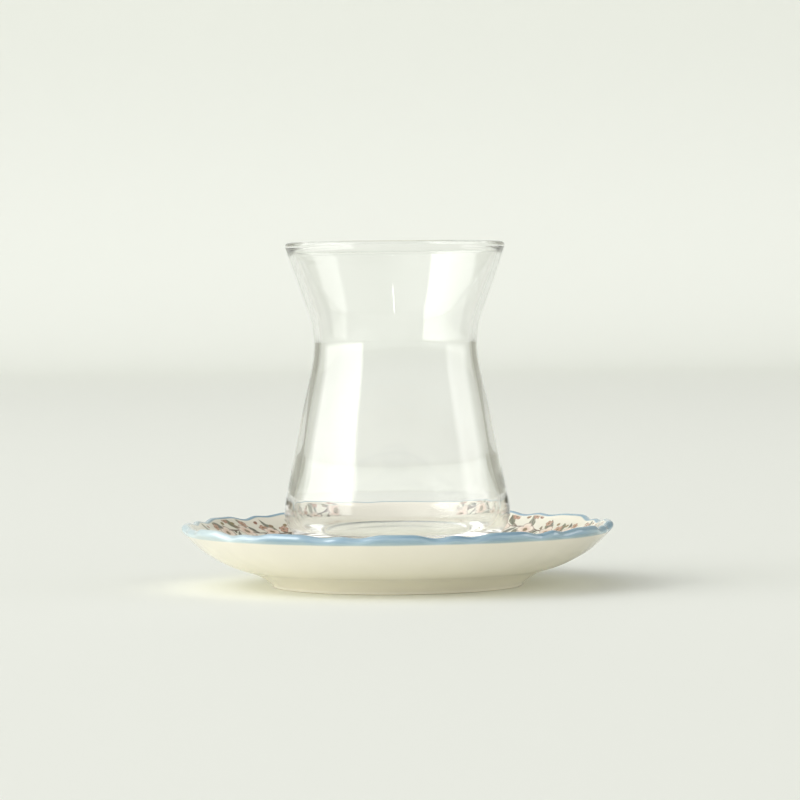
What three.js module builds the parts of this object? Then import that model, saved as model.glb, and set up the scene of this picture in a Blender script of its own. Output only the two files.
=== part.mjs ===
// A slim-waisted tea glass standing on its scalloped saucer, in millimetres, +Z up.
// The origin is the centre of the saucer's foot, on the surface that it stands on, and -Y is the front.
import * as THREE from 'three';

// Saucer
const FOOT_INNER_RADIUS = 31.2;    // flat ring that the saucer stands on
const FOOT_OUTER_RADIUS = 33.0;
const FOOT_EDGE_ROUND = 0.5;
const FOOT_TOP_RADIUS = 36.6;      // where the foot's flaring side starts to turn into the wall
const FOOT_TOP_HEIGHT = 2.9;
const WALL_START_RADIUS = 40.0;    // where that turn ends
const WALL_START_HEIGHT = 4.2;
const FOOT_INNER_EDGE = 0.3;       // how far the ring's inner edge leans in
const UNDERSIDE_HEIGHT = 2.2;      // hollow inside the foot ring
const UNDERSIDE_RADIUS = 29.6;
const WELL_HEIGHT = 6.0;           // flat floor that the glass stands on
const WELL_RADIUS = 31.0;
const LIP_RADIUS = 57.7;           // outermost point of the rolled lip
const CREST_HEIGHT = 17.1;         // top of the lip on a lobe
const LIP_ROUND = 1.2;             // half the lip's thickness
const WALL_SLOPE_AT_LIP = THREE.MathUtils.degToRad(47.5);
const OUTER_WALL_PULL = new THREE.Vector2(49.8, 6.9);  // radius and height that the wall's outer curve bends towards
const INNER_WALL_PULL = new THREE.Vector2(48, 9.6);
const WELL_PULL_RADIUS = 38;       // the inner curve leaves the well level with it

// Scallops of the saucer's rim
const BAYS = 12;                   // each bay has one wide lobe and one small one
const SMALL_LOBE_SHARE = 0.3;      // share of a bay that its small lobe takes
const SMALL_LOBE_RISE = 0.6;       // how far the small lobe comes back, against the wide one
const WIDE_LOBE_EASE = 0.32;       // share of a wide lobe that each of its soft ends takes
const NOTCH_IN = 0.7;              // depth of a notch on the plan
const NOTCH_DOWN = 0.75;           // depth of a notch below the crest
const SCALLOP_START_RADIUS = 47.0; // the scallops fade out down the wall
const SCALLOP_FULL_RADIUS = 55.5;

// Glass, with its heights counted from its own foot
const GLASS_HEIGHT = 85.5;
const GLASS_FOOT_INNER_RADIUS = 20.0;
const GLASS_FOOT_RADIUS = 21.6;
const PUNT_HEIGHT = 1.0;           // shallow hollow under the foot
const PUNT_RADIUS = 18.0;
const BELLY_RADIUS = 30.1;
const BELLY_HEIGHT = 13.5;
const HEEL_ROUND = 7.5;            // from the belly in to the foot
const HEEL_END = THREE.MathUtils.degToRad(-40);
const BODY_TAPER = THREE.MathUtils.degToRad(11.7);
const WAIST_RADIUS = 21.85;
const WAIST_HEIGHT = 58.9;
const WAIST_ROUND_BELOW = 38.6;
const WAIST_ROUND_ABOVE = 25.1;
const BELL_FLARE = THREE.MathUtils.degToRad(19.2);
const BEAD_ROUND = 0.95;           // fire-polished bead round the mouth
const BEAD_RADIUS = 28.35;         // of the circle that the bead follows
const BEAD_START = THREE.MathUtils.degToRad(-35);
const BEAD_END = THREE.MathUtils.degToRad(200);
const BODY_WALL = 2.7;
const BELLY_THINNING = 0.8;        // how much thinner the wall is at the belly
const THINNED_FROM = 16.0;         // heights between which that thinning fades out
const THINNED_TO = 29.0;
const BELL_WALL = 1.6;
const INNER_TOP = 2.4;             // below the mouth, where the bead runs into the inner wall
const INNER_SHOULDER_HEIGHT = 20.0;  // where the inner wall starts to turn upright
const INNER_CORNER_HEIGHT = 14.1;  // where it starts to turn in, over the thick base
const INNER_CORNER_ROUND = 6.1;
const INNER_CORNER_END = THREE.MathUtils.degToRad(-85);

// Fineness of the faceted solids
const SAUCER_SIDES = BAYS * 10;    // three sides to a small lobe and seven to a wide one
const GLASS_SIDES = 56;

const point = (radius, height) => new THREE.Vector2(radius, height);

// Points along an arc of a profile, from one angle to another, both ends included.
function arc(centre, radius, from, to, steps) {
  return Array.from({ length: steps + 1 }, (_, i) => {
    const angle = from + (to - from) * i / steps;
    return point(centre.x + radius * Math.cos(angle), centre.y + radius * Math.sin(angle));
  });
}

// Points along an arc that starts at a given point, where its angle is from.
function arcFrom(start, radius, from, to, steps) {
  const centre = point(start.x - radius * Math.cos(from), start.y - radius * Math.sin(from));
  return arc(centre, radius, from, to, steps);
}

// Points along a straight side, without its two ends, which belong to the arcs beside it.
function between(start, end, steps) {
  return Array.from({ length: steps - 1 }, (_, i) => start.clone().lerp(end, (i + 1) / steps));
}

// Revolves a profile about the Z axis. The profile starts and ends on the axis.
function revolve(profile, sides, phase) {
  return new THREE.LatheGeometry(profile, sides, phase).rotateX(Math.PI / 2);
}

// Height of the scallop at an angle from the front, 0 in a notch and 1 on top of a wide lobe.
// A wide lobe is centred on the front.
function scallop(angle) {
  const bay = 2 * Math.PI / BAYS;
  const share = THREE.MathUtils.euclideanModulo(angle / bay + 0.5, 1);
  const fromSmallCentre = Math.min(share, 1 - share);
  const half = SMALL_LOBE_SHARE / 2;
  if (fromSmallCentre < half) {
    const fromNotch = (half - fromSmallCentre) / SMALL_LOBE_SHARE;
    return SMALL_LOBE_RISE * THREE.MathUtils.smoothstep(fromNotch, 0, 0.5);
  }
  const fromNotch = (fromSmallCentre - half) / (1 - SMALL_LOBE_SHARE);
  return THREE.MathUtils.smoothstep(fromNotch, 0, WIDE_LOBE_EASE);
}

function saucerProfile() {
  const lipCentre = point(LIP_RADIUS - LIP_ROUND, CREST_HEIGHT - LIP_ROUND);
  const lip = arc(lipCentre, LIP_ROUND, WALL_SLOPE_AT_LIP - Math.PI / 2, WALL_SLOPE_AT_LIP + Math.PI / 2, 5);
  const outerWall = new THREE.QuadraticBezierCurve(
    point(WALL_START_RADIUS, WALL_START_HEIGHT), OUTER_WALL_PULL, lip[0]);
  const innerWall = new THREE.CubicBezierCurve(
    lip[lip.length - 1], INNER_WALL_PULL, point(WELL_PULL_RADIUS, WELL_HEIGHT), point(WELL_RADIUS, WELL_HEIGHT));
  return [
    point(0, UNDERSIDE_HEIGHT),
    point(UNDERSIDE_RADIUS, UNDERSIDE_HEIGHT),
    point(FOOT_INNER_RADIUS - FOOT_INNER_EDGE, FOOT_EDGE_ROUND),
    point(FOOT_INNER_RADIUS, 0),
    point(FOOT_OUTER_RADIUS, 0),
    point(FOOT_OUTER_RADIUS + FOOT_EDGE_ROUND, FOOT_EDGE_ROUND),
    point(FOOT_TOP_RADIUS, FOOT_TOP_HEIGHT),
    ...outerWall.getPoints(7).slice(0, -1),
    ...lip,
    ...innerWall.getPoints(7).slice(1),
    point(0, WELL_HEIGHT),
  ];
}

// The rim's notches cut in and down. Both faces of the wall move together, so it keeps its thickness.
function cutScallops(geometry) {
  const position = geometry.getAttribute('position');
  for (let i = 0; i < position.count; i++) {
    const x = position.getX(i);
    const y = position.getY(i);
    const radius = Math.hypot(x, y);
    const reach = THREE.MathUtils.smoothstep(radius, SCALLOP_START_RADIUS, SCALLOP_FULL_RADIUS);
    if (reach === 0) continue;
    const notch = reach * (1 - scallop(Math.atan2(x, -y)));
    const scale = (radius - NOTCH_IN * notch) / radius;
    position.setXYZ(i, x * scale, y * scale, position.getZ(i) - NOTCH_DOWN * notch);
  }
  return geometry;
}

function glassProfile() {
  const heelCentre = point(BELLY_RADIUS - HEEL_ROUND, BELLY_HEIGHT);
  const heel = arc(heelCentre, HEEL_ROUND, HEEL_END, 0, 4);

  // The waist is two arcs that meet where it is slimmest.
  const waistBelow = arc(point(WAIST_RADIUS + WAIST_ROUND_BELOW, WAIST_HEIGHT),
    WAIST_ROUND_BELOW, Math.PI + BODY_TAPER, Math.PI, 3);
  const waistAbove = arc(point(WAIST_RADIUS + WAIST_ROUND_ABOVE, WAIST_HEIGHT),
    WAIST_ROUND_ABOVE, Math.PI, Math.PI - BELL_FLARE, 4);

  // The shoulder's arc runs from the belly into the taper, so its radius follows from both.
  const taperFoot = waistBelow[0].x + (waistBelow[0].y - BELLY_HEIGHT) * Math.tan(BODY_TAPER);
  const shoulderRound = (taperFoot - BELLY_RADIUS) * Math.cos(BODY_TAPER) / (1 - Math.cos(BODY_TAPER));
  const shoulder = arc(point(BELLY_RADIUS - shoulderRound, BELLY_HEIGHT), shoulderRound, 0, BODY_TAPER, 2);

  const bead = arc(point(BEAD_RADIUS, GLASS_HEIGHT - BEAD_ROUND), BEAD_ROUND,
    BEAD_START, BEAD_END, 8);
  const bell = waistAbove[waistAbove.length - 1];
  const outer = [
    ...shoulder,
    ...between(shoulder[shoulder.length - 1], waistBelow[0], 3),
    ...waistBelow,
    ...waistAbove.slice(1),
    ...between(bell, bead[0], 3),
  ];

  // The inner wall follows the outer one, thinning towards the mouth and towards the belly. Low down it
  // turns upright before the outer one does, which thickens the wall, and then turns in over the thick base.
  const wallAt = (height) =>
    THREE.MathUtils.lerp(BODY_WALL, BELL_WALL, THREE.MathUtils.smoothstep(height, BELLY_HEIGHT, WAIST_HEIGHT))
    - BELLY_THINNING * (1 - THREE.MathUtils.smoothstep(height, THINNED_FROM, THINNED_TO));
  const inner = outer
    .filter((p) => p.y > INNER_SHOULDER_HEIGHT && p.y < GLASS_HEIGHT - INNER_TOP)
    .map((p) => point(p.x - wallAt(p.y), p.y))
    .reverse();
  const shoulderStart = point(
    waistBelow[0].x + (waistBelow[0].y - INNER_SHOULDER_HEIGHT) * Math.tan(BODY_TAPER)
      - wallAt(INNER_SHOULDER_HEIGHT),
    INNER_SHOULDER_HEIGHT);
  const above = inner[inner.length - 1];
  const innerTaper = Math.atan2(shoulderStart.x - above.x, above.y - shoulderStart.y);
  const innerRound = (INNER_SHOULDER_HEIGHT - INNER_CORNER_HEIGHT) / Math.sin(innerTaper);
  const innerShoulder = arcFrom(shoulderStart, innerRound, innerTaper, 0, 3);
  const corner = arcFrom(innerShoulder[innerShoulder.length - 1], INNER_CORNER_ROUND,
    0, INNER_CORNER_END, 5);
  return [
    point(0, PUNT_HEIGHT),
    point(PUNT_RADIUS, PUNT_HEIGHT),
    point(GLASS_FOOT_INNER_RADIUS, 0),
    point(GLASS_FOOT_RADIUS, 0),
    ...heel,
    ...outer.slice(1),
    ...bead,
    ...inner,
    ...innerShoulder,
    ...corner.slice(1),
    point(0, corner[corner.length - 1].y),
  ];
}

const saucer = new THREE.Mesh(
  cutScallops(revolve(saucerProfile(), SAUCER_SIDES, Math.PI / SAUCER_SIDES)),
  new THREE.MeshStandardMaterial({ color: 0xe9e4d2, roughness: 0.18, metalness: 0 }),
);
saucer.name = 'saucer';

const teaGlass = new THREE.Mesh(
  revolve(glassProfile(), GLASS_SIDES, 0),
  new THREE.MeshStandardMaterial({
    color: 0xeef1ea, roughness: 0.03, metalness: 0, transparent: true, opacity: 0.35 }),
);
teaGlass.name = 'tea_glass';
teaGlass.position.z = WELL_HEIGHT;

const group = new THREE.Group();
group.add(saucer, teaGlass);

export default group;
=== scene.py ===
import math
import random

import bmesh
import bpy
from bpy.props import FloatProperty, FloatVectorProperty, IntProperty, PointerProperty
from mathutils import Matrix, Vector, noise


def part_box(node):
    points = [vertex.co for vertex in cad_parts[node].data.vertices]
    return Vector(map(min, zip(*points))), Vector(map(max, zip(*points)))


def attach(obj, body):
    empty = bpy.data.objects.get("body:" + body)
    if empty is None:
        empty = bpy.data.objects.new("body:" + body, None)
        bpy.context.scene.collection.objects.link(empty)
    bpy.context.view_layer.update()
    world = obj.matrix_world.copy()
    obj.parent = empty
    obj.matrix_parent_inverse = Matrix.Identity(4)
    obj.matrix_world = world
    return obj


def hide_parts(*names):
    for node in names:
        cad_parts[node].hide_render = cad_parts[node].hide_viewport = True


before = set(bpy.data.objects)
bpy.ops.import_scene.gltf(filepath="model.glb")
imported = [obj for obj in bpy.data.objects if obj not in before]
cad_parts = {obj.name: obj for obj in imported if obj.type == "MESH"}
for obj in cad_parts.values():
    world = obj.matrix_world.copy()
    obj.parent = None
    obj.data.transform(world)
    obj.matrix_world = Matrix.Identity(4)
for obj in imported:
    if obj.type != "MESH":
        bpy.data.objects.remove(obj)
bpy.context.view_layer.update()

bl_info = {
    "name": "Tea glass and saucer",
    "version": (1, 0, 0),
    "blender": (4, 5, 0),
    "location": "3D View > Sidebar > Tea glass",
    "description": "Makes a slim-waisted tea glass on its scalloped saucer, and a plain studio round them",
    "category": "Object",
}

GLASS_LOW, GLASS_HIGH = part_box("tea_glass")
MM = 0.001

# Where the camera stands, in metres and degrees, with its lens and sensor in millimetres
CAMERA_DISTANCE = 0.950
CAMERA_HEIGHT = 0.0743
CAMERA_ASIDE = 0.0010
CAMERA_PITCH = -1.5
CAMERA_ROLL = -0.55
CAMERA_LENS = 160.3
CAMERA_SENSOR = 36.0


# Small helpers for outlines, in metres: an outline is a list of (radius, height)

def arc(centre, radius, start, end, steps):
    """Points on an arc, both ends included, with its angles in degrees."""
    angles = [math.radians(start + (end - start) * i / steps) for i in range(steps + 1)]
    return [(centre[0] + radius * math.cos(a), centre[1] + radius * math.sin(a)) for a in angles]


def straight(start, end, steps):
    """Points between two others, without those two."""
    return [tuple(Vector(start).lerp(Vector(end), i / steps)) for i in range(1, steps)]


def bezier(points, steps):
    """Points on a Bezier curve of any degree, both ends included."""
    made = []
    for i in range(steps + 1):
        level = [Vector(p) for p in points]
        while len(level) > 1:
            level = [a.lerp(b, i / steps) for a, b in zip(level, level[1:])]
        made.append(tuple(level[0]))
    return made


def smoothstep(low, high, value):
    t = min(1.0, max(0.0, (value - low) / (high - low)))
    return t * t * (3 - 2 * t)


def turned(outline, sides, marks=()):
    """Spins an outline, which starts and ends on the axis, once round Z.

    marks are values kept at the outline's points.
    """
    bm = bmesh.new()
    layer = bm.verts.layers.float.new("from_crest")
    verts = [bm.verts.new((0, -radius, height)) for radius, height in outline]
    for vert, mark in zip(verts, marks):
        vert[layer] = mark
    edges = [bm.edges.new(pair) for pair in zip(verts, verts[1:])]
    bmesh.ops.spin(bm, geom=verts + edges, cent=(0, 0, 0), axis=(0, 0, 1), dvec=(0, 0, 0),
                   angle=2 * math.pi, steps=sides, use_merge=True, use_duplicate=False)
    bmesh.ops.remove_doubles(bm, verts=bm.verts, dist=0.002 * MM)
    bmesh.ops.recalc_face_normals(bm, faces=bm.faces)
    return bm


def piece_of(bm, name, material):
    """Makes a smooth object of a bmesh."""
    for face in bm.faces:
        face.smooth = True
    mesh = bpy.data.meshes.new(name)
    bm.to_mesh(mesh)
    bm.free()
    mesh.materials.append(material)
    piece = bpy.data.objects.new(name, mesh)
    bpy.context.scene.collection.objects.link(piece)
    return piece


def put_on_root(piece, node):
    """Lets a piece ride on the root body, in the place of its CAD node."""
    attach(piece, "root")
    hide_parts(node)


# Small helpers for shader nodes

class Wiring:
    """Adds nodes to one node tree. An input is given as a value, or as the socket that feeds it."""

    def __init__(self, tree):
        self.tree = tree

    def add(self, kind, inputs=None, **settings):
        node = self.tree.nodes.new(kind)
        for name, value in settings.items():
            setattr(node, name, value)
        for name, value in (inputs or {}).items():
            if isinstance(value, bpy.types.NodeSocket):
                self.tree.links.new(value, node.inputs[name])
            else:
                node.inputs[name].default_value = value
        return node

    def link(self, source, target):
        self.tree.links.new(source, target)

    def math(self, operation, *values, clamp=False):
        inputs = dict(enumerate(values))
        return self.add("ShaderNodeMath", inputs, operation=operation, use_clamp=clamp).outputs[0]

    def between(self, value, low, high, to_low=0.0, to_high=1.0):
        """Eases from to_low to to_high while value goes from low to high."""
        inputs = {"Value": value, "From Min": low, "From Max": high, "To Min": to_low, "To Max": to_high}
        return self.add("ShaderNodeMapRange", inputs, interpolation_type="SMOOTHSTEP").outputs[0]

    def mix(self, factor, first, second):
        inputs = {0: factor, 6: first, 7: second}
        return self.add("ShaderNodeMix", inputs, data_type="RGBA").outputs[2]

    def noise(self, vector, scale, detail=3.0, roughness=0.5):
        inputs = {"Vector": vector, "Scale": scale, "Detail": detail, "Roughness": roughness}
        return self.add("ShaderNodeTexNoise", inputs).outputs[0]


def srgb(red, green, blue):
    """A colour read as 0 to 255 on a screen, as the linear values that shaders take."""
    def linear(value):
        share = value / 255
        return share / 12.92 if share <= 0.04045 else ((share + 0.055) / 1.055) ** 2.4
    return (linear(red), linear(green), linear(blue), 1.0)


def new_material(name):
    material = bpy.data.materials.new(name)
    material.use_nodes = True
    material.node_tree.nodes.clear()
    return material, Wiring(material.node_tree)


# The glass

BELLY_HEIGHT = 13.5 * MM
HEEL_ROUND = 7.5 * MM
HEEL_END = -40.0
BODY_TAPER = 11.7
WAIST_ROUND_BELOW = 38.6 * MM
WAIST_ROUND_ABOVE = 25.1 * MM
BELL_FLARE = 19.2
BEAD_ROUND = 0.95 * MM
BEAD_RADIUS = 28.35 * MM
FOOT_INNER_RADIUS = 20.0 * MM
FOOT_RADIUS = 21.6 * MM
PUNT_HEIGHT = 1.0 * MM
PUNT_ROUND = 3.0 * MM
CORNER_HEIGHT = 14.1 * MM
CORNER_ROUND = 6.1 * MM
CORNER_END = -85.0
FLOOR_FLAT_RADIUS = 12.0 * MM
FLOOR_DISH = 0.3 * MM
INNER_SHOULDER_HEIGHT = 20.0 * MM
INNER_TOP = 2.4 * MM
THINNED_FROM = 16.0 * MM
THINNED_TO = 29.0 * MM
BEAD_START = -35.0
BEAD_END = 200.0

# The waves of the wall: where they are left out, and how fast they change round it, up it and through it
WAVES_FROM_RADIUS = 2.0 * MM
WAVES_FROM_HEIGHT = 3.0 * MM
WAVES_BELOW_RIM = 4.0 * MM
WAVE_TURNS = 1.7
WAVE_LENGTH = 26.0 * MM
WAVE_SHIFT = 40.0

GLASS_IOR = 1.52
GLASS_SHADOW = (0.93, 0.94, 0.92, 1.0)


class TeaGlassSettings(bpy.types.PropertyGroup):
    height: FloatProperty(
        name="Height", description="From the glass's foot to the top of its bead",
        default=GLASS_HIGH.z - GLASS_LOW.z, unit="LENGTH")
    belly_radius: FloatProperty(
        name="Belly radius", description="Widest part of the body", default=GLASS_HIGH.x, unit="LENGTH")
    waist_radius: FloatProperty(
        name="Waist radius", description="Slimmest part of the body", default=21.85 * MM, unit="LENGTH")
    waist_height: FloatProperty(
        name="Waist height", description="Above the glass's foot", default=58.9 * MM, unit="LENGTH")
    body_wall: FloatProperty(
        name="Body wall", description="Thickness below the waist", default=2.7 * MM, unit="LENGTH")
    belly_thinning: FloatProperty(
        name="Belly thinning", description="How much thinner the wall is at the belly",
        default=0.8 * MM, unit="LENGTH")
    bell_wall: FloatProperty(
        name="Bell wall", description="Thickness above the waist", default=1.6 * MM, unit="LENGTH")
    waviness: FloatProperty(
        name="Waviness", description="How far the wall wanders", default=0.3 * MM, unit="LENGTH")
    sides: IntProperty(name="Sides", description="Steps of the spin", default=192, min=24)
    tint: FloatVectorProperty(
        name="Tint", description="Colour of light through the glass", subtype="COLOR", size=4,
        default=(0.985, 0.99, 0.98, 1.0))


def glass_outline(s):
    """The glass's section from the middle of its foot, up the outside and down the inside."""
    heel_centre = (s.belly_radius - HEEL_ROUND, BELLY_HEIGHT)
    heel = arc(heel_centre, HEEL_ROUND, HEEL_END, 0, 10)
    waist_below = arc((s.waist_radius + WAIST_ROUND_BELOW, s.waist_height),
                      WAIST_ROUND_BELOW, 180 + BODY_TAPER, 180, 6)
    waist_above = arc((s.waist_radius + WAIST_ROUND_ABOVE, s.waist_height),
                      WAIST_ROUND_ABOVE, 180, 180 - BELL_FLARE, 10)
    taper = math.radians(BODY_TAPER)
    taper_foot = waist_below[0][0] + (waist_below[0][1] - BELLY_HEIGHT) * math.tan(taper)
    shoulder_round = (taper_foot - s.belly_radius) * math.cos(taper) / (1 - math.cos(taper))
    shoulder = arc((s.belly_radius - shoulder_round, BELLY_HEIGHT), shoulder_round, 0, BODY_TAPER, 6)
    bead = arc((BEAD_RADIUS, s.height - BEAD_ROUND), BEAD_ROUND, BEAD_START, BEAD_END, 24)
    outer = (shoulder + straight(shoulder[-1], waist_below[0], 16) + waist_below
             + waist_above[1:] + straight(waist_above[-1], bead[0], 16))

    def wall(height):
        slimming = smoothstep(BELLY_HEIGHT, s.waist_height, height)
        even = s.body_wall + (s.bell_wall - s.body_wall) * slimming
        return even - s.belly_thinning * (1 - smoothstep(THINNED_FROM, THINNED_TO, height))

    inner = [(radius - wall(height), height) for radius, height in reversed(outer)
             if INNER_SHOULDER_HEIGHT < height < s.height - INNER_TOP]
    inner_taper_low = (waist_below[0][0] - wall(INNER_SHOULDER_HEIGHT)
                       + (waist_below[0][1] - INNER_SHOULDER_HEIGHT) * math.tan(taper))
    inner_taper = math.atan2(inner_taper_low - inner[-1][0], inner[-1][1] - INNER_SHOULDER_HEIGHT)
    inner_round = (INNER_SHOULDER_HEIGHT - CORNER_HEIGHT) / math.sin(inner_taper)
    corner_radius = inner_taper_low + inner_round * (1 - math.cos(inner_taper))
    inner_shoulder = arc((corner_radius - inner_round, CORNER_HEIGHT), inner_round,
                         math.degrees(inner_taper), 0, 8)
    corner = arc((corner_radius - CORNER_ROUND, CORNER_HEIGHT), CORNER_ROUND, 0, CORNER_END, 16)[1:]
    punt = bezier([
        (0, PUNT_HEIGHT), (FOOT_INNER_RADIUS - PUNT_ROUND, PUNT_HEIGHT), (FOOT_INNER_RADIUS, 0)], 8)
    sole = bezier([(FOOT_INNER_RADIUS, 0), (FOOT_RADIUS, 0), heel[0]], 10)[1:-1]
    floor_height = corner[-1][1] - FLOOR_DISH
    floor = bezier([corner[-1], (FLOOR_FLAT_RADIUS, floor_height), (0, floor_height)], 8)[1:]
    return punt + sole + heel + outer[1:] + bead + inner + inner_shoulder + corner + floor


def make_waves(bm, s):
    """Both faces of the pressed wall wander a little, which breaks up what is seen through it."""
    for vert in bm.verts:
        radius = math.hypot(vert.co.x, vert.co.y)
        if radius < WAVES_FROM_RADIUS or not WAVES_FROM_HEIGHT <= vert.co.z <= s.height - WAVES_BELOW_RIM:
            continue
        direction = Vector((vert.co.x, vert.co.y, 0)) / radius
        where = Vector((direction.x * WAVE_TURNS, direction.y * WAVE_TURNS, vert.co.z / WAVE_LENGTH))
        where.z += radius * WAVE_SHIFT
        vert.co += direction * (noise.noise(where) * s.waviness)


def glass_material(s):
    material, wires = new_material("clear glass")
    body = wires.add("ShaderNodeBsdfPrincipled", {
        "Base Color": tuple(s.tint), "Roughness": 0.0, "IOR": GLASS_IOR, "Transmission Weight": 1.0})
    clear = wires.add("ShaderNodeBsdfTransparent", {"Color": GLASS_SHADOW})
    path = wires.add("ShaderNodeLightPath")
    shader = wires.add("ShaderNodeMixShader", {
        0: path.outputs["Is Shadow Ray"], 1: body.outputs[0], 2: clear.outputs[0]})
    wires.add("ShaderNodeOutputMaterial", {"Surface": shader.outputs[0]})
    return material


class MakeGlass(bpy.types.Operator):
    """Makes the tea glass, spun from its section"""
    bl_idname = "tea_set.make_glass"
    bl_label = "Tea glass"

    def execute(self, context):
        s = context.scene.tea_glass
        bm = turned(glass_outline(s), s.sides)
        make_waves(bm, s)
        bmesh.ops.translate(bm, verts=bm.verts, vec=(0, 0, GLASS_LOW.z))
        put_on_root(piece_of(bm, "tea_glass_clear", glass_material(s)), "tea_glass")
        return {"FINISHED"}


# The saucer's form

SAUCER_FOOT_INNER = 31.2 * MM
SAUCER_FOOT_OUTER = 33.0 * MM
FOOT_EDGE_ROUND = 0.5 * MM
FOOT_COVE = (36.6 * MM, 3.45 * MM)
WALL_START = (41.0 * MM, 4.5 * MM)
WALL_PULL = (49.8 * MM, 6.9 * MM)
UNDERSIDE_HEIGHT = 2.2 * MM
HOLLOW_ROUND = 2.4 * MM
HOLLOW_PULL = 0.6 * MM
HOLLOW_DRAFT = 0.4 * MM
WELL_RADIUS = 31.0 * MM
WELL_EASE_RADIUS = 38.0 * MM
INNER_WALL_PULL = (48.0 * MM, 9.6 * MM)
LIP_ROUND = 1.2 * MM
WALL_SLOPE_AT_LIP = 47.5
SMALL_LOBE_SHARE = 0.3
WIDE_LOBE_EASE = 0.32
SMALL_LOBE_RISES = (0.1, 0.85)
SCALLOP_START_RADIUS = 47.0 * MM
SCALLOP_FULL_RADIUS = 55.5 * MM
CREST_WAVES = 0.3 * MM
CREST_WAVE_TURNS = 4.5
NOTCH_UNEVENNESS = 0.7
NOTCH_TURNS = 2.6
HAND_SEED = 11


class SaucerSettings(bpy.types.PropertyGroup):
    lip_radius: FloatProperty(
        name="Lip radius", description="Outermost point of the rolled lip",
        default=57.7 * MM, unit="LENGTH")
    crest_height: FloatProperty(
        name="Crest height", description="Top of the lip on a lobe", default=17.1 * MM, unit="LENGTH")
    well_height: FloatProperty(
        name="Well height", description="Floor that the glass stands on",
        default=GLASS_LOW.z, unit="LENGTH")
    bays: IntProperty(name="Bays", description="Repeats of the rim's scallop", default=12, min=4)
    bay_steps: IntProperty(
        name="Bay steps", description="Steps of the spin in each bay", default=30, min=10)
    notch_in: FloatProperty(
        name="Notch in", description="Depth of a notch on the plan", default=0.7 * MM, unit="LENGTH")
    notch_down: FloatProperty(
        name="Notch down", description="Depth of a notch below the crest", default=0.75 * MM, unit="LENGTH")
    band_height: FloatProperty(
        name="Band height", description="How far the painted band reaches down the outside",
        default=2.9 * MM, unit="LENGTH")
    print_strength: FloatProperty(
        name="Print", description="Strength of the printed sprays", default=0.9, min=0, max=1)
    glaze: FloatVectorProperty(
        name="Glaze", description="Cream of the glazed body", subtype="COLOR", size=4,
        default=srgb(238, 233, 218))
    band: FloatVectorProperty(
        name="Band", description="Blue of the painted rim", subtype="COLOR", size=4,
        default=srgb(150, 177, 187))


def saucer_outline(s):
    """The saucer's section from the middle of its underside, out to the lip and back over the well."""
    lip_centre = (s.lip_radius - LIP_ROUND, s.crest_height - LIP_ROUND)
    lip = arc(lip_centre, LIP_ROUND, WALL_SLOPE_AT_LIP - 90, WALL_SLOPE_AT_LIP + 90, 14)
    under = [(0, UNDERSIDE_HEIGHT)] + bezier([
        (SAUCER_FOOT_INNER - HOLLOW_ROUND, UNDERSIDE_HEIGHT),
        (SAUCER_FOOT_INNER - HOLLOW_PULL, UNDERSIDE_HEIGHT),
        (SAUCER_FOOT_INNER - HOLLOW_DRAFT, FOOT_EDGE_ROUND),
        (SAUCER_FOOT_INNER, 0)], 8)
    foot = bezier([
        (SAUCER_FOOT_OUTER, 0),
        (SAUCER_FOOT_OUTER + FOOT_EDGE_ROUND, 0),
        (SAUCER_FOOT_OUTER + FOOT_EDGE_ROUND, FOOT_EDGE_ROUND)], 5)
    cove = bezier([foot[-1], FOOT_COVE, WALL_START], 14)[1:-1]
    wall = bezier([WALL_START, WALL_PULL, lip[0]], 24)
    inner = bezier([
        lip[-1], INNER_WALL_PULL, (WELL_EASE_RADIUS, s.well_height), (WELL_RADIUS, s.well_height)], 30)
    well = straight(inner[-1], (0, s.well_height), 8) + [(0, s.well_height)]
    return under + foot + cove + wall + lip[1:] + inner[1:] + well


def distances_from_crest(outline):
    """How far each point of the section lies from its highest one: above 0 outside, below 0 inside."""
    lengths = [0.0]
    for a, b in zip(outline, outline[1:]):
        lengths.append(lengths[-1] + (Vector(b) - Vector(a)).length)
    crest = max(range(len(outline)), key=lambda i: outline[i][1])
    return [lengths[crest] - length for length in lengths]


def scallop(angle, bays, rises):
    """Height of the rim's scallop: 0 in a notch, 1 on a wide lobe, one of which is at the front."""
    place = angle / (2 * math.pi) * bays + 0.5
    off_small = min(place % 1, 1 - place % 1)
    half = SMALL_LOBE_SHARE / 2
    if off_small < half:
        across = (off_small + half) / SMALL_LOBE_SHARE
        return rises[round(place) % bays] * smoothstep(0, 0.5, min(across, 1 - across))
    across = (off_small - half) / (1 - SMALL_LOBE_SHARE)
    return smoothstep(0, WIDE_LOBE_EASE, min(across, 1 - across))


def cut_scallops(bm, s):
    """Moves the rim in and down at its notches, both faces of the wall together.

    No two notches are quite alike, as on a piece trimmed by hand.
    """
    chance = random.Random(HAND_SEED)
    rises = [chance.uniform(*SMALL_LOBE_RISES) for _ in range(s.bays)]
    for vert in bm.verts:
        radius = math.hypot(vert.co.x, vert.co.y)
        reach = smoothstep(SCALLOP_START_RADIUS, SCALLOP_FULL_RADIUS, radius)
        if reach == 0:
            continue
        direction = Vector((vert.co.x, vert.co.y, 0)) / radius
        hand = 1 + NOTCH_UNEVENNESS * noise.noise(direction * NOTCH_TURNS + Vector((0, 0, HAND_SEED)))
        wave = 0.5 + 0.5 * noise.noise(direction * CREST_WAVE_TURNS + Vector((0, 0, 2 * HAND_SEED)))
        notch = reach * hand * (1 - scallop(math.atan2(vert.co.x, -vert.co.y), s.bays, rises))
        vert.co -= direction * (s.notch_in * notch + CREST_WAVES * reach * wave)
        vert.co.z -= s.notch_down * notch + CREST_WAVES * reach * wave


# The saucer's print, a set of sprays round the inner wall. Its lengths are in millimetres.

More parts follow.
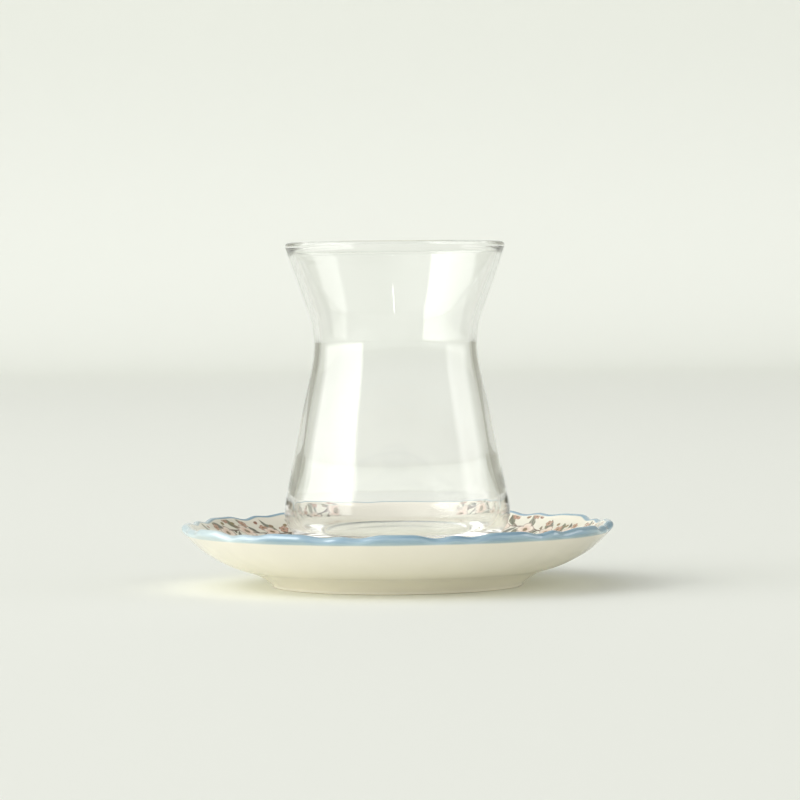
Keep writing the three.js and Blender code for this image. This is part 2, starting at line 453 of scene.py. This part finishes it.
SPRAYS = 3
SPRAY_LENGTH = 70.0
SPRAY_FADE = 3.0
PRINT_RADIUS = 50.0
TWIG_DEPTH = 7.6
TWIG_SWAY = 1.6
TWIG_SWAY_RATE = 0.16
TWIG_HALF_WIDTH = 0.45
TWIG_SOLID_HALF_WIDTH = 0.2
HAND_WANDER = 1.1
HAND_WANDER_SCALE = 210.0
SPRAY_SWAY_STEP = 1.7
SPRAY_SEED_STEP = 31.0
WASH = srgb(206, 206, 188)
WASH_STRENGTH = 0.35
WASH_REACH = 9.0
WASH_EVEN_REACH = 3.0
VEIN_STRENGTH = 0.7
OUTLINE_STRENGTH = 0.75
TWIG_BROWN = srgb(96, 74, 60)
VEIN_BROWN = srgb(70, 66, 52)
PETAL_LINE = srgb(126, 84, 66)
CORE_BROWN = srgb(120, 96, 52)
# Each row: pitch, length, width, slant in radians, shift along the twig, darkest and palest colour
LEAF_ROWS = (
    (3.5, 6.4, 1.25, 0.95, 0.0, srgb(70, 80, 66), srgb(126, 126, 92)),
    (2.6, 4.4, 0.7, 0.7, 2.0, srgb(104, 96, 72), srgb(168, 136, 106)),
    (4.7, 8.2, 0.9, 1.15, 3.1, srgb(84, 90, 80), srgb(160, 160, 138)),
)
BERRY_PITCH = 4.4
BERRY_RADIUS = 0.85
BERRY_SOLID_RADIUS = 0.5
BERRY_HIGHEST = -5.6
BERRY_SPREAD = 3.0
BERRY_COLOURS = (srgb(140, 86, 64), srgb(124, 118, 66))
# Each row: pitch, radius, way off the twig, colour at the core and at the petals' edge
BLOSSOM_ROWS = (
    (6.3, 1.6, -3.4, srgb(158, 100, 78), srgb(218, 182, 156)),
    (9.1, 3.2, 0.4, srgb(204, 156, 130), srgb(243, 238, 224)),
)
BLOSSOM_SPREAD = 3.0


def new_group(name, inputs, outputs):
    """Starts a node group of plain numbers: its inputs with their defaults, and its outputs."""
    tree = bpy.data.node_groups.new(name, "ShaderNodeTree")
    for title, default in inputs.items():
        socket = tree.interface.new_socket(title, in_out="INPUT", socket_type="NodeSocketFloat")
        socket.default_value = default
    for title in outputs:
        tree.interface.new_socket(title, in_out="OUTPUT", socket_type="NodeSocketFloat")
    wires = Wiring(tree)
    return wires, wires.add("NodeGroupInput").outputs, wires.add("NodeGroupOutput").inputs


def leaf_row_group():
    """A row of leaves that leave a twig to both sides in turn."""
    wires, given, made = new_group("leaf row", {
        "Along": 0, "Off": 0, "Pitch": 6, "Length": 6, "Width": 1.4, "Slant": 0.9, "Seed": 0},
        ("Mask", "Vein", "Tone"))
    m = wires.math
    place = m("DIVIDE", given["Along"], given["Pitch"])
    cell = m("FLOOR", place)
    tone = wires.add("ShaderNodeTexWhiteNoise", {"W": m("ADD", cell, given["Seed"])},
                     noise_dimensions="1D").outputs["Value"]
    side = m("SUBTRACT", 1.0, m("MULTIPLY", 2.0, m("FLOORED_MODULO", cell, 2.0)))
    off = m("MULTIPLY", given["Off"], side)
    start = m("MULTIPLY", m("SUBTRACT", m("SUBTRACT", place, cell), 0.25), given["Pitch"])
    slant = m("MULTIPLY_ADD", m("SUBTRACT", tone, 0.5), 0.5, given["Slant"])
    cosine, sine = m("COSINE", slant), m("SINE", slant)
    outward = m("ADD", m("MULTIPLY", start, cosine), m("MULTIPLY", off, sine))
    aside = m("ABSOLUTE", m("SUBTRACT", m("MULTIPLY", off, cosine), m("MULTIPLY", start, sine)))
    length = m("MULTIPLY", given["Length"], m("MULTIPLY_ADD", tone, 0.35, 0.8))
    share = m("DIVIDE", outward, length, clamp=True)
    half = m("MULTIPLY", given["Width"], m("SINE", m("MULTIPLY", share, math.pi)))
    mask = wires.between(m("SUBTRACT", half, aside), -0.05, 0.35)
    wires.link(mask, made["Mask"])
    wires.link(m("MULTIPLY", mask, wires.between(aside, 0.3, 0.1)), made["Vein"])
    wires.link(tone, made["Tone"])
    return wires.tree


def blossom_group():
    """One blossom of five petals round a dark middle."""
    wires, given, made = new_group("blossom", {"Along": 0, "Off": 0, "Size": 4.5, "Turn": 0},
                                   ("Petal", "Core", "Outline", "Shade"))
    m = wires.math
    angle = m("ADD", m("ARCTAN2", given["Off"], given["Along"]), given["Turn"])
    radius = m("SQRT", m("ADD", m("POWER", given["Along"], 2.0), m("POWER", given["Off"], 2.0)))
    petals = m("POWER", m("ABSOLUTE", m("COSINE", m("MULTIPLY", angle, 2.5))), 0.5)
    edge = m("MULTIPLY", given["Size"], m("MULTIPLY_ADD", petals, 0.38, 0.62))
    inside = m("SUBTRACT", edge, radius)
    petal = wires.between(inside, 0.0, 0.35)
    wires.link(petal, made["Petal"])
    wires.link(wires.between(m("DIVIDE", radius, given["Size"]), 0.3, 0.2), made["Core"])
    wires.link(m("MULTIPLY", petal, wires.between(inside, 0.8, 0.35)), made["Outline"])
    wires.link(m("DIVIDE", radius, edge, clamp=True), made["Shade"])
    return wires.tree


def cells(wires, place, seed):
    """Which cell of a row a place lies in, as the way from its middle in cells and a chance value."""
    m = wires.math
    cell = m("FLOOR", place)
    chance = wires.add("ShaderNodeTexWhiteNoise", {"W": m("ADD", cell, seed)},
                       noise_dimensions="1D").outputs["Value"]
    return m("SUBTRACT", m("SUBTRACT", place, cell), 0.5), chance


def printed_sprays(wires, turn, depth, position):
    """Sprays of leaves, berries and blossoms round the inner wall, as a colour and a mask.

    turn is the angle from the front in radians, and depth the way down from the crest in millimetres.
    """
    m = wires.math
    turns = m("MULTIPLY_ADD", turn, SPRAYS / (2 * math.pi), 0.5)
    spray = m("FLOOR", turns)
    pitch = 2 * math.pi * PRINT_RADIUS / SPRAYS
    wander = m("MULTIPLY", m("SUBTRACT", wires.noise(position, HAND_WANDER_SCALE), 0.5), HAND_WANDER)
    along = m("ADD", m("MULTIPLY", m("SUBTRACT", m("SUBTRACT", turns, spray), 0.5), pitch), wander)
    sway = m("SINE", m("MULTIPLY_ADD", along, TWIG_SWAY_RATE, m("MULTIPLY", spray, SPRAY_SWAY_STEP)))
    twig_depth = m("MULTIPLY_ADD", sway, TWIG_SWAY, TWIG_DEPTH)
    off = m("ADD", m("SUBTRACT", depth, twig_depth), wander)
    seed = m("MULTIPLY", spray, SPRAY_SEED_STEP)
    within = wires.between(m("ABSOLUTE", along), SPRAY_LENGTH / 2, SPRAY_LENGTH / 2 - SPRAY_FADE)
    near = m("MULTIPLY", within, wires.between(m("ABSOLUTE", off), WASH_REACH, WASH_EVEN_REACH))
    colour = WASH
    mask = m("MULTIPLY", near, WASH_STRENGTH)

    def paint(share, shade):
        nonlocal colour, mask
        share = m("MULTIPLY", share, within)
        colour = wires.mix(share, colour, shade)
        mask = m("MAXIMUM", mask, share)

    leaves = leaf_row_group()
    for leaf_pitch, length, width, slant, shift, dark, pale in LEAF_ROWS:
        row = wires.add("ShaderNodeGroup", {
            "Along": m("ADD", along, shift), "Off": off, "Pitch": leaf_pitch, "Length": length,
            "Width": width, "Slant": slant, "Seed": m("ADD", seed, shift * 7)}, node_tree=leaves).outputs
        paint(row["Mask"], wires.mix(row["Tone"], dark, pale))
        paint(m("MULTIPLY", row["Vein"], VEIN_STRENGTH), VEIN_BROWN)
    paint(wires.between(m("ABSOLUTE", off), TWIG_HALF_WIDTH, TWIG_SOLID_HALF_WIDTH), TWIG_BROWN)

    off_middle, chance = cells(wires, m("DIVIDE", along, BERRY_PITCH), seed)
    berry_along = m("MULTIPLY", off_middle, BERRY_PITCH)
    berry_off = m("SUBTRACT", off, m("MULTIPLY_ADD", chance, BERRY_SPREAD, BERRY_HIGHEST))
    berry = m("SQRT", m("ADD", m("POWER", berry_along, 2.0), m("POWER", berry_off, 2.0)))
    paint(wires.between(berry, BERRY_RADIUS, BERRY_SOLID_RADIUS), wires.mix(chance, *BERRY_COLOURS))

    blossoms = blossom_group()
    for step, size, lift, petal_dark, petal_pale in BLOSSOM_ROWS:
        off_middle, chance = cells(wires, m("DIVIDE", m("ADD", along, lift), step), m("ADD", seed, step))
        aside = m("MULTIPLY_ADD", m("SUBTRACT", chance, 0.5), BLOSSOM_SPREAD, lift)
        blossom = wires.add("ShaderNodeGroup", {
            "Along": m("MULTIPLY", off_middle, step), "Off": m("SUBTRACT", off, aside),
            "Size": m("MULTIPLY_ADD", chance, 0.3 * size, 0.85 * size),
            "Turn": m("MULTIPLY", chance, 6.0)}, node_tree=blossoms).outputs
        paint(blossom["Petal"], wires.mix(blossom["Shade"], petal_dark, petal_pale))
        paint(m("MULTIPLY", blossom["Outline"], OUTLINE_STRENGTH), PETAL_LINE)
        paint(blossom["Core"], CORE_BROWN)
    return colour, mask


# The saucer's glaze and its painted band

BAND_INSIDE = 1.1 * MM
BAND_DEEP_BLUE = srgb(84, 128, 164)
BAND_FADED_BLUE = srgb(186, 206, 206)
# Painted highlight: the band's colour is paled towards the key light's side, centred at this turn, in place
# of the key's reflection
PAINTED_KEY_SHEEN = srgb(222, 234, 230)
PAINTED_KEY_SHEEN_TURN = math.radians(75)
STREAK_TURNS = 6.0
STREAKS_PER_MM = 1.4
BARE_CLAY = srgb(206, 196, 172)
BARE_HEIGHT = 0.15 * MM
BARE_EVEN_HEIGHT = 0.08 * MM
BARE_HALF_WIDTH = 2.4 * MM
BARE_EDGE = 0.4 * MM
BARE_ROUGHNESS = 0.6
GLOSS_ROUGHNESS = (0.07, 0.13)
RIPPLE_HEIGHT = 0.12 * MM
GLAZE_IOR = 1.5
BAND_IOR_RISE = 0.5


def printed_cream(wires, s, position, turn, depth):
    """The cream glaze, a little cloudy, with the print on its inner side."""
    m = wires.math
    cloud = wires.noise(position, 55.0, detail=5.0)
    cream = wires.mix(wires.between(cloud, 0.35, 0.7), tuple(c * 0.97 for c in s.glaze), tuple(s.glaze))
    flowers, printed = printed_sprays(wires, turn, depth, position)
    inside = wires.between(depth, BAND_INSIDE / MM, BAND_INSIDE / MM + 0.8)
    speckle = wires.between(wires.noise(position, 900.0), 0.25, 0.5, 0.75, 1.0)
    speckled = m("MULTIPLY", m("MULTIPLY", printed, inside), speckle)
    return wires.mix(m("MULTIPLY", speckled, s.print_strength), cream, flowers)


def painted_band(wires, s, position, height, turn, from_crest):
    """The blue band, streaked by the brush and paled by a painted reflection of the key light, as a colour
    and a mask.
    """
    m = wires.math
    wobble = m("MULTIPLY_ADD", wires.noise(position, 45.0), 0.5 * MM,
               s.crest_height - s.band_height - 0.25 * MM)
    above_edge = m("SUBTRACT", height, wobble)
    mask = m("MULTIPLY", wires.between(above_edge, -0.15 * MM, 0.3 * MM),
             wires.between(from_crest, -BAND_INSIDE - 0.3 * MM, -BAND_INSIDE + 0.2 * MM))
    ring = wires.add("ShaderNodeCombineXYZ", {
        0: m("MULTIPLY", m("SINE", turn), STREAK_TURNS), 1: m("MULTIPLY", m("COSINE", turn), STREAK_TURNS),
        2: m("MULTIPLY", from_crest, STREAKS_PER_MM / MM)}).outputs[0]
    streaks = wires.between(wires.noise(ring, 1.0, detail=4.0, roughness=0.65), 0.3, 0.72)
    blue = wires.mix(streaks, wires.mix(0.5, tuple(s.band), BAND_DEEP_BLUE), tuple(s.band))
    blue = wires.mix(wires.between(above_edge, 1.2 * MM, 0.1 * MM, 0.0, 0.45), blue, BAND_FADED_BLUE)
    # Painted reflection of the key light: the blue pales where the band faces the key
    key_sheen = wires.between(m("COSINE", m("ADD", turn, PAINTED_KEY_SHEEN_TURN)), 0.7, 0.97, 0.0, 0.55)
    return wires.mix(key_sheen, blue, PAINTED_KEY_SHEEN), mask


def saucer_material(s):
    material, wires = new_material("cream glaze")
    m = wires.math
    position = wires.add("ShaderNodeTexCoord").outputs["Object"]
    axes = wires.add("ShaderNodeSeparateXYZ", {0: position}).outputs
    turn = m("ARCTAN2", axes["X"], m("MULTIPLY", axes["Y"], -1.0))
    from_crest = wires.add("ShaderNodeAttribute", attribute_name="from_crest").outputs["Fac"]
    depth = m("MULTIPLY", from_crest, -1 / MM)

    blue, band = painted_band(wires, s, position, axes["Z"], turn, from_crest)
    colour = wires.mix(band, printed_cream(wires, s, position, turn, depth), blue)
    radius = m("SQRT", m("ADD", m("POWER", axes["X"], 2.0), m("POWER", axes["Y"], 2.0)))
    off_foot = m("ABSOLUTE", m("SUBTRACT", radius, (SAUCER_FOOT_INNER + SAUCER_FOOT_OUTER) / 2))
    bare = m("MULTIPLY", wires.between(axes["Z"], BARE_HEIGHT, BARE_EVEN_HEIGHT),
             wires.between(off_foot, BARE_HALF_WIDTH, BARE_HALF_WIDTH - BARE_EDGE))
    colour = wires.mix(bare, colour, BARE_CLAY)

    gloss = wires.between(wires.noise(position, 95.0), 0.3, 0.7, *GLOSS_ROUGHNESS)
    roughness = wires.add("ShaderNodeMix", {0: bare, 2: gloss, 3: BARE_ROUGHNESS}).outputs[0]
    ripple = m("MULTIPLY_ADD", wires.noise(position, 40.0, detail=1.0), 1.0,
               m("MULTIPLY", wires.noise(position, 420.0), 0.03))
    bump = wires.add("ShaderNodeBump", {"Height": ripple, "Strength": 0.5, "Distance": RIPPLE_HEIGHT})
    body = wires.add("ShaderNodeBsdfPrincipled", {
        "Base Color": colour, "Roughness": roughness, "Normal": bump.outputs[0],
        "IOR": m("MULTIPLY_ADD", band, BAND_IOR_RISE, GLAZE_IOR)})
    wires.add("ShaderNodeOutputMaterial", {"Surface": body.outputs[0]})
    return material


class MakeSaucer(bpy.types.Operator):
    """Makes the scalloped saucer, spun from its section"""
    bl_idname = "tea_set.make_saucer"
    bl_label = "Saucer"

    def execute(self, context):
        s = context.scene.saucer
        outline = saucer_outline(s)
        bm = turned(outline, s.bays * s.bay_steps, distances_from_crest(outline))
        cut_scallops(bm, s)
        put_on_root(piece_of(bm, "saucer_glazed", saucer_material(s)), "saucer")
        return {"FINISHED"}


# The studio

PAPER_WIDTH = 2.34
PAPER_BEHIND = 3.6
PAPER_FRONT = -3.0
PAPER_RISE = 2.2
PAPER_CURVE = 0.45
PAPER_NEAR_SHADE = 0.93
PAPER_HIGH_SHADE = 0.86
FLOOR_RADIUS = 8.0
FLOOR_DROP = 2.0 * MM
REAR_WARMTH = 0.84
WORLD_SEEN = srgb(236, 237, 229)


class StudioSettings(bpy.types.PropertyGroup):
    paper: FloatVectorProperty(
        name="Paper", description="Colour of the floor and backdrop", subtype="COLOR", size=4,
        default=srgb(241, 243, 235))
    key_strength: FloatProperty(
        name="Key light", description="Radiance of the left softbox", default=3.6)
    fill_strength: FloatProperty(
        name="Fill light", description="Radiance of the right softbox", default=1.9)
    strip_strength: FloatProperty(
        name="Strip light", description="Radiance of the strip above", default=6.0)
    ceiling_left: FloatProperty(
        name="Ceiling left", description="Brightness above on the left", default=1.1)
    ceiling_right: FloatProperty(
        name="Ceiling right", description="Brightness above on the right", default=0.1)
    front_left: FloatProperty(
        name="Front left", description="Brightness left of the camera", default=1.2)
    front_right: FloatProperty(
        name="Front right", description="Brightness right of the camera", default=1.1)
    rear_strength: FloatProperty(
        name="Rear", description="Brightness beside and behind the paper", default=0.42)


def softbox(name, radiance, azimuth, distance, middle, width, height, rear_share=1.0, soft=0.1):
    """An upright area light with soft edges, which fades to rear_share along its width.

    Azimuth 0 is the camera's side and 90 the right. middle is the height of its middle.
    """
    light = bpy.data.lights.new(name, "AREA")
    light.shape = "RECTANGLE"
    light.size, light.size_y = width, height
    light.energy = radiance * math.pi * width * height
    light.use_nodes = True
    wires = Wiring(light.node_tree)
    place = wires.add("ShaderNodeNewGeometry").outputs["Parametric"]
    across, along, _ = wires.add("ShaderNodeSeparateXYZ", {0: place}).outputs
    edges = wires.math("MULTIPLY", wires.between(across, 0, soft), wires.between(across, 1, 1 - soft))
    edges = wires.math("MULTIPLY", edges, wires.between(along, 0, soft / 2))
    edges = wires.math("MULTIPLY", edges, wires.between(along, 1, 1 - soft))
    front_share = across if azimuth < 0 else wires.math("SUBTRACT", 1.0, across)
    fade = wires.math("MULTIPLY_ADD", front_share, 1 - rear_share, rear_share)
    emission = light.node_tree.nodes["Emission"]
    wires.link(wires.math("MULTIPLY", edges, fade), emission.inputs["Strength"])
    lamp = bpy.data.objects.new(name, light)
    turn = math.radians(azimuth)
    towards = Vector((math.sin(turn), -math.cos(turn), 0))
    lamp.location = towards * distance + Vector((0, 0, middle))
    lamp.rotation_euler = towards.to_track_quat("Z", "Y").to_euler()
    lamp.visible_camera = False
    bpy.context.scene.collection.objects.link(lamp)


def make_world(s):
    """The room that the glass shows: pale in front and above on the left, darker at the rear.

    The camera itself sees an even pale colour past the paper.
    """
    world = bpy.data.worlds.new("studio")
    bpy.context.scene.world = world
    world.use_nodes = True
    world.node_tree.nodes.clear()
    wires = Wiring(world.node_tree)
    direction = wires.add("ShaderNodeTexCoord").outputs["Generated"]
    axes = wires.add("ShaderNodeSeparateXYZ", {0: direction}).outputs
    right = wires.between(axes["X"], -0.4, 0.4)
    above = wires.between(axes["Z"], 0.45, 0.8)
    front_side = wires.between(axes["Y"], 0.2, -0.4)

    def grey(strength):
        return (strength, strength, strength, 1)

    ceiling = wires.mix(right, grey(s.ceiling_left), grey(s.ceiling_right))
    front = wires.mix(right, grey(s.front_left), grey(s.front_right))
    rear = (s.rear_strength, s.rear_strength, s.rear_strength * REAR_WARMTH, 1)
    walls = wires.mix(front_side, rear, front)
    room = wires.mix(above, walls, ceiling)
    path = wires.add("ShaderNodeLightPath")
    colour = wires.mix(path.outputs["Is Camera Ray"], room, WORLD_SEEN)
    background = wires.add("ShaderNodeBackground", {"Color": colour, "Strength": 1.0})
    wires.add("ShaderNodeOutputWorld", {"Surface": background.outputs[0]})


def paper_material(s):
    """Matt paper. Its shade evens out the light, which falls off to the back and grows with the height."""
    material, wires = new_material("pale paper")
    position = wires.add("ShaderNodeTexCoord").outputs["Object"]
    axes = wires.add("ShaderNodeSeparateXYZ", {0: position}).outputs

    def shaded(share):
        return tuple(channel * share for channel in s.paper[:3]) + (1.0,)

    near, high = shaded(PAPER_NEAR_SHADE), shaded(PAPER_HIGH_SHADE)
    floor = wires.mix(wires.between(axes["Y"], -0.4, 3.4), near, tuple(s.paper))
    body = wires.add("ShaderNodeBsdfPrincipled", {
        "Base Color": wires.mix(wires.between(axes["Z"], -0.05, 0.45), floor, high),
        "Roughness": 0.7, "Specular IOR Level": 0.2})
    wires.add("ShaderNodeOutputMaterial", {"Surface": body.outputs[0]})
    return material


def make_sweep(material):
    """A sheet of paper that lies in front and behind, then curves up to stand as the backdrop."""
    curve = arc((PAPER_BEHIND - PAPER_CURVE, PAPER_CURVE), PAPER_CURVE, -90, 0, 16)
    section = [(PAPER_FRONT, 0), *curve, (PAPER_BEHIND, PAPER_RISE)]
    bm = bmesh.new()
    verts = [bm.verts.new((-PAPER_WIDTH / 2, along, height)) for along, height in section]
    edges = [bm.edges.new(pair) for pair in zip(verts, verts[1:])]
    grown = bmesh.ops.extrude_edge_only(bm, edges=edges)["geom"]
    moved = [v for v in grown if isinstance(v, bmesh.types.BMVert)]
    bmesh.ops.translate(bm, verts=moved, vec=(PAPER_WIDTH, 0, 0))
    sweep = piece_of(bm, "paper_sweep", material)


def make_floor(material):
    """A round floor just below the sheet, for views from the sides."""
    bm = bmesh.new()
    bmesh.ops.create_circle(bm, cap_ends=True, segments=64, radius=FLOOR_RADIUS)
    bmesh.ops.translate(bm, verts=bm.verts, vec=(0, 0, -FLOOR_DROP))
    ground = piece_of(bm, "floor_round", material)


def make_lights(s):
    softbox("key_left", s.key_strength, azimuth=-83, distance=2.4, middle=1.5, width=3.9, height=3.0,
            rear_share=0.35)
    softbox("fill_right", s.fill_strength, azimuth=98, distance=2.5, middle=1.1, width=2.1, height=2.2,
            rear_share=0.6, soft=0.2)
    softbox("strip_above", s.strip_strength, azimuth=3, distance=2.0, middle=1.6, width=0.08, height=0.16)


def make_camera(scene):
    camera = bpy.data.cameras.new("camera")
    camera.lens = CAMERA_LENS
    camera.sensor_width = CAMERA_SENSOR
    viewer = bpy.data.objects.new("camera", camera)
    viewer.location = (CAMERA_ASIDE, -CAMERA_DISTANCE, CAMERA_HEIGHT)
    tilt = Matrix.Rotation(math.radians(90 + CAMERA_PITCH), 4, "X")
    viewer.rotation_euler = (tilt @ Matrix.Rotation(math.radians(CAMERA_ROLL), 4, "Z")).to_euler()
    scene.collection.objects.link(viewer)
    scene.camera = viewer


class MakeStudio(bpy.types.Operator):
    """Makes the pale floor with its backdrop, the soft lights and the camera"""
    bl_idname = "tea_set.make_studio"
    bl_label = "Studio"

    def execute(self, context):
        scene = context.scene
        material = paper_material(scene.studio)
        make_sweep(material)
        make_floor(material)
        make_lights(scene.studio)
        make_world(scene.studio)
        make_camera(scene)
        scene.view_settings.view_transform = "Standard"
        scene.cycles.max_bounces = 32
        scene.cycles.diffuse_bounces = 12
        scene.cycles.glossy_bounces = 24
        scene.cycles.transmission_bounces = 24
        return {"FINISHED"}


class TeaSetPanel(bpy.types.Panel):
    """Lists the tea set's pieces and their sizes"""
    bl_idname = "VIEW3D_PT_tea_set"
    bl_label = "Tea glass"
    bl_space_type = "VIEW_3D"
    bl_region_type = "UI"
    bl_category = "Tea glass"

    def draw(self, context):
        for operator, settings in zip(OPERATORS, SETTINGS):
            box = self.layout.box()
            box.operator(operator.bl_idname)
            group = getattr(context.scene, settings)
            for name in group.__annotations__:
                box.prop(group, name)


OPERATORS = (MakeStudio, MakeGlass, MakeSaucer)
SETTINGS = {"studio": StudioSettings, "tea_glass": TeaGlassSettings, "saucer": SaucerSettings}


def register():
    for kind in (*SETTINGS.values(), *OPERATORS, TeaSetPanel):
        bpy.utils.register_class(kind)
    for name, kind in SETTINGS.items():
        setattr(bpy.types.Scene, name, PointerProperty(type=kind))


def unregister():
    for name in SETTINGS:
        delattr(bpy.types.Scene, name)
    for kind in (TeaSetPanel, *reversed(OPERATORS), *reversed(SETTINGS.values())):
        bpy.utils.unregister_class(kind)


def main():
    register()
    bpy.ops.tea_set.make_studio()
    bpy.ops.tea_set.make_glass()
    bpy.ops.tea_set.make_saucer()


if __name__ == "__main__":
    main()
